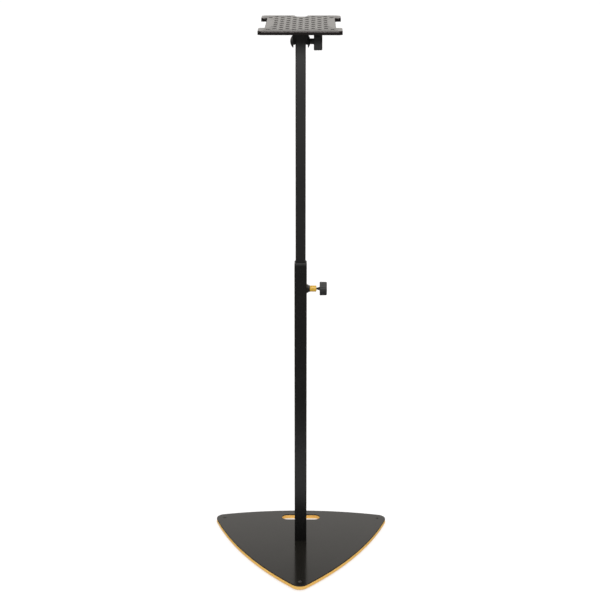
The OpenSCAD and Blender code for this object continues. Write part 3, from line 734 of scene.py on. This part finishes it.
def tray_outline(inset):
    """Half the tray's outline from front to back, mirrored for the other half, with every corner eased.
    An outer corner's radius shrinks by the inset, and that of a notch's inner corner grows by it."""
    w, d = tray_w / 2 - inset, tray_d / 2 - inset
    x = tray_w / 2 - side_notch_in - inset
    y0 = side_notch_behind - side_notch_length / 2 - inset
    y1 = side_notch_behind + side_notch_length / 2 + inset
    mouth, floor = back_notch_mouth + inset, back_notch_floor + inset
    bottom = tray_d / 2 - back_notch_depth - inset
    corner, ear, inner = tray_corner - inset, ear_corner - inset, side_notch_corner + inset
    right = [(w, -d, corner), (w, y0, ear), (x, y0, inner), (x, y1, inner), (w, y1, ear), (w, d, corner),
             (mouth, d, back_notch_corner - inset), (floor, bottom, back_notch_corner + inset)]
    left = [(-x_, y_, r_) for x_, y_, r_ in right[::-1]]
    return eased(right + left, 9)


tray_top = np.array([0, (tray_low[1] + tray_high[1]) / 2, tray_high[2]])
inner_bend = bend_r - tray_t
bend = np.radians(np.arange(0, 91, 15))
tray_profile = (
    [(bend_r + hold, 0)]
    + [(bend_r * (1 - math.sin(a)), -bend_r * (1 - math.cos(a))) for a in bend]
    + [(0, -lip_h + edge_r), (edge_r, -lip_h), (tray_t - edge_r, -lip_h), (tray_t, -lip_h + edge_r)]
    + [(bend_r - inner_bend * math.sin(a), -bend_r + inner_bend * math.cos(a)) for a in bend[::-1]]
    + [(bend_r + hold, -tray_t)]
)
rim = wall([lifted(tray_outline(i), h, tray_top) for i, h in tray_profile])
cols, rows = np.meshgrid(np.arange(-edge_column, edge_column + 1), np.arange(hole_rows))
inner_hole = (abs(cols) < edge_column) & ~((cols == 0) & (rows == 0))
edge_hole = (abs(cols) == edge_column) & ((rows == 1) | (rows == hole_rows - 1))
punched = ((cols + rows) % 2 == 0) & (inner_hole | edge_hole)
spots = np.stack([cols[punched], (hole_rows - 1) / 2 - rows[punched]], -1) * hole_pitch
rim_loop = tray_outline(bend_r + hold)
punch_profile = [(hole_r + edge_r, 0), (hole_r + 0.3 * edge_r, -0.3 * edge_r), (hole_r, -edge_r),
                 (hole_r, -tray_t + hole_burr), (hole_r + hole_burr, -tray_t)]
holes = [wall([lifted(circle(r, spot, 32), h, tray_top) for r, h in punch_profile]) for spot in spots]
tray_over = level_face([rim_loop] + [circle(hole_r + edge_r, s, 32) for s in spots], 0, tray_top)
tray_under = level_face([rim_loop] + [circle(hole_r + hole_burr, s, 32) for s in spots], -tray_t, tray_top)
tray_coat = powder_coat("tray_coat", tray_black, 0.13, depth=0.006, uneven=0.03, tint=tray_tint)
piece("tray_body", [rim, *holes, tray_over, tray_under], tray_coat, "head", "tray", "tray")


# Yoke and its two friction linings. The yoke is a steel strip bent to a U and spot welded under the
# tray. Its cheeks hang down either side of the upper tube and narrow to a round end at the bolt, and
# each has a black nylon lining riveted inside, which rubs on the tube.
dress("yoke", powder_coat("yoke_coat", (0.0030, 0.0030, 0.0030), 0.42))
lining_black = (0.012, 0.012, 0.012)
dress("friction_washer_left", moulded_plastic("lining_black_left", lining_black, 0.46))
dress("friction_washer_right", moulded_plastic("lining_black_right", lining_black, 0.46))


# Tilt bolt, domed cap, domed washer and tilt knob. The bolt's head sits in a hexagon pocket of the
# plastic cap on the left, and the knob with its moulded-in nut pulls washer, cheeks and tube together.
dress("tilt_bolt", zinc_plate("tilt_bolt_zinc"))
dress("tilt_knob_nut", zinc_plate("nut_zinc"))
axis_low, axis_high = box("tilt_bolt")
axis_z = (axis_low[2] + axis_high[2]) / 2


def dome_profile(radius, height, steps=14):
    """Half section of a dome: a short upright rim, then an arc that climbs to the middle. With rise the
    height over the rim, the arc's radius is (radius^2 + rise^2) / (2 rise)."""
    rise = height - rim_h
    ball = (radius**2 + rise**2) / (2 * rise)
    angle = np.linspace(math.asin(radius / ball), 0, steps)
    arc = np.stack([height - ball + ball * np.cos(angle), ball * np.sin(angle)], -1)
    return np.concatenate([[(0, 0), (0, radius - rim_edge), (rim_edge, radius)], arc])


cap_low, cap_high = box("dome_cap")
cap_r = (cap_high[2] - cap_low[2]) / 2
rim_h = 1.2 * MM
rim_edge = 0.3 * MM
cap_profile = dome_profile(cap_r, cap_high[0] - cap_low[0])
piece("dome_cap_body", [turned(cap_profile, (cap_high[0], column_y, axis_z), (-1, 0, 0))],
      moulded_plastic("dome_plastic", (0.017, 0.017, 0.017), 0.34), "head", "dome_cap", "dome_cap")

wash_low, wash_high = box("dome_washer")
wash_r = (wash_high[2] - wash_low[2]) / 2
wash_h = wash_high[0] - wash_low[0]
tilt_bore_r = 4.1 * MM
full_dome = dome_profile(wash_r, wash_h + 1.5 * MM)
cut_dome = np.stack([np.minimum(full_dome[:, 0], wash_h), np.maximum(full_dome[:, 1], tilt_bore_r)], -1)
piece("dome_washer_body", [turned(cut_dome, (wash_low[0], column_y, axis_z), ACROSS)],
      powder_coat("dome_washer_coat", tube_black, 0.30), "tilt_washer", "dome_washer", "dome_washer")

tilt_low, tilt_high = box("tilt_knob")
tilt_end = tilt_high[0]
tilt_knob_r = 24.4 * MM
hub_r = 7.8 * MM
hub_length = 10.4 * MM
hub_end = tilt_low[0] + hub_length
tilt_bore_end = tilt_low[0] + 25 * MM
tilt_knob_profile = eased(
    [(tilt_low[0], tilt_bore_r, 0), (tilt_low[0], hub_r, 0.5 * MM), (hub_end, hub_r, 1.0 * MM)]
    + grip_profile(hub_end, tilt_end, tilt_knob_r)
    + [(tilt_end - dish, 0, 0), (tilt_bore_end, 0, 0), (tilt_bore_end, tilt_bore_r, 0)], 4)
tilt_knob_start = (0, column_y, axis_z)
tilt_knob_grip = fluted(tilt_knob_r, hub_end)
tilt_knob_surface = turned(tilt_knob_profile, tilt_knob_start, ACROSS, grip_around, tilt_knob_grip)
piece("tilt_knob_body", [tilt_knob_surface],
      moulded_plastic("tilt_knob_plastic", (0.018, 0.018, 0.018), 0.55, 1100, 0.08),
      "tilt_knob", "tilt_knob", "tilt_knob")


# Studio: a white floor, in a white room that only the camera sees. The light is a wide box overhead, a
# wall behind that the satin coats mirror, and one long panel high in front of the column. A pale card on
# the floor lights the gloss of the lower tube, and a small black flag keeps the panel off the tray's top.
def staged(name, corners, faces, constants, hidden_from):
    """Flat faces of the studio with one matt or glowing material, hidden from some kinds of light ray."""
    mesh = bpy.data.meshes.new(name)
    mesh.from_pydata(corners, [], faces)
    mesh.materials.append(finish(name + "_finish", constants)[0])
    made = bpy.data.objects.new(name, mesh)
    bpy.context.scene.collection.objects.link(made)
    for ray in hidden_from:
        setattr(made, "visible_" + ray, False)


def room_light(room):
    """Brightness of the room by direction: up is its height, and ahead is 1 away from the camera. Each
    between() is one edge of the box, of the wall or of the dimmer side behind the camera."""
    way = Wire(room.node_tree.nodes.new("ShaderNodeTexCoord").outputs["Generated"])
    ahead = way.node("SeparateXYZ", inputs={0: way}, out=1)
    up = way.node("SeparateXYZ", inputs={0: way}, out=2)
    box_overhead = up.between(0.60, 0.78) * overhead_light
    wall_behind = 0.05 + up.between(-0.02, 0.06) * 0.72 + up.between(0.12, 0.40) * 0.29
    wall_behind = wall_behind - up.between(0.42, 0.50) * 0.80
    camera_side = 0.12 + up.between(-0.24, -0.19) * 0.06
    return box_overhead + camera_side + ahead.between(-0.12, 0.12) * (wall_behind - camera_side)


one_face = [(0, 1, 2, 3)]
room_half = 30
room_corners = [(x, y, z) for x in (-room_half, room_half) for y in (-room_half, room_half)
                for z in (-room_half, room_half)]
room_faces = [(0, 1, 3, 2), (4, 6, 7, 5), (0, 4, 5, 1), (2, 3, 7, 6), (0, 2, 6, 4), (1, 5, 7, 3)]
flat_black = {"Base Color": (0, 0, 0), "Roughness": 1, "IOR": 1}
glow_white = {**flat_black, "Emission Color": (1, 1, 1)}
staged("backdrop_box", room_corners, room_faces, {**glow_white, "Emission Strength": 1.02},
       ("diffuse", "glossy", "transmission", "shadow"))

floor_half = 25
staged("studio_floor",
       [(-floor_half, -floor_half, 0), (floor_half, -floor_half, 0),
        (floor_half, floor_half, 0), (-floor_half, floor_half, 0)], one_face,
       {"Base Color": (0.4, 0.4, 0.4), "Roughness": 0.9,
        "Emission Color": (0.95, 0.96, 1.0), "Emission Strength": 0.585}, ("glossy", "shadow"))

card_half = 1.2
card_near, card_far = column_y - 0.8, column_y - 0.32
card_z = 0.2 * MM
staged("floor_card",
       [(-card_half, card_near, card_z), (card_half, card_near, card_z),
        (card_half, card_far, card_z), (-card_half, card_far, card_z)], one_face,
       {**glow_white, "Emission Strength": 0.70}, ("camera", "diffuse", "shadow"))

flag_half = 0.12
flag_y = -0.2
flag_low, flag_high = 1.58, 1.72
staged("key_flag",
       [(-flag_half, flag_y, flag_low), (flag_half, flag_y, flag_low),
        (flag_half, flag_y, flag_high), (-flag_half, flag_y, flag_high)], one_face,
       flat_black, ("camera",))

overhead_light = 1.7
world = bpy.data.worlds.new("studio_room")
world.use_nodes = True
bpy.context.scene.world = world
world_shader = world.node_tree.nodes["Background"]
plug(world_shader.inputs["Color"], (1.0, 0.965, 0.92))
plug(world_shader.inputs["Strength"], room_light(world))

key_ahead, key_up = 1.2, 1.92
key = bpy.data.lights.new("key_panel", "AREA")
key.shape = "RECTANGLE"
key.size = 1.3
key.size_y = 0.26
key.energy = 23
key_object = bpy.data.objects.new("key_panel", key)
key_object.location = (0, column_y - key_ahead, key_up)
key_object.rotation_euler = (math.pi / 2, 0, 0)
key_object.visible_camera = False
bpy.context.scene.collection.objects.link(key_object)


# Camera. It stands where the holes of the tray and the screws of the base in the photo put it: 4 m in
# front of the column and 2 m up, looking down.
camera_away = 3.9863
camera_up = 2.0227
camera_down = math.radians(17.526)
camera_azimuth = math.radians(0.5)
camera_pan = math.radians(0.0253)
photo_focal = 1470.65 / 600
sensor_width = 36
camera = bpy.data.cameras.new("photo_camera")
camera.sensor_width = sensor_width
camera.lens = sensor_width * photo_focal
camera_object = bpy.data.objects.new("photo_camera", camera)
camera_object.location = (camera_away * math.sin(camera_azimuth),
                          column_y - camera_away * math.cos(camera_azimuth), camera_up)
camera_object.rotation_euler = (math.pi / 2 - camera_down, 0, camera_azimuth + camera_pan)
bpy.context.scene.collection.objects.link(camera_object)
bpy.context.scene.camera = camera_object
bpy.context.scene.view_settings.view_transform = "Standard"
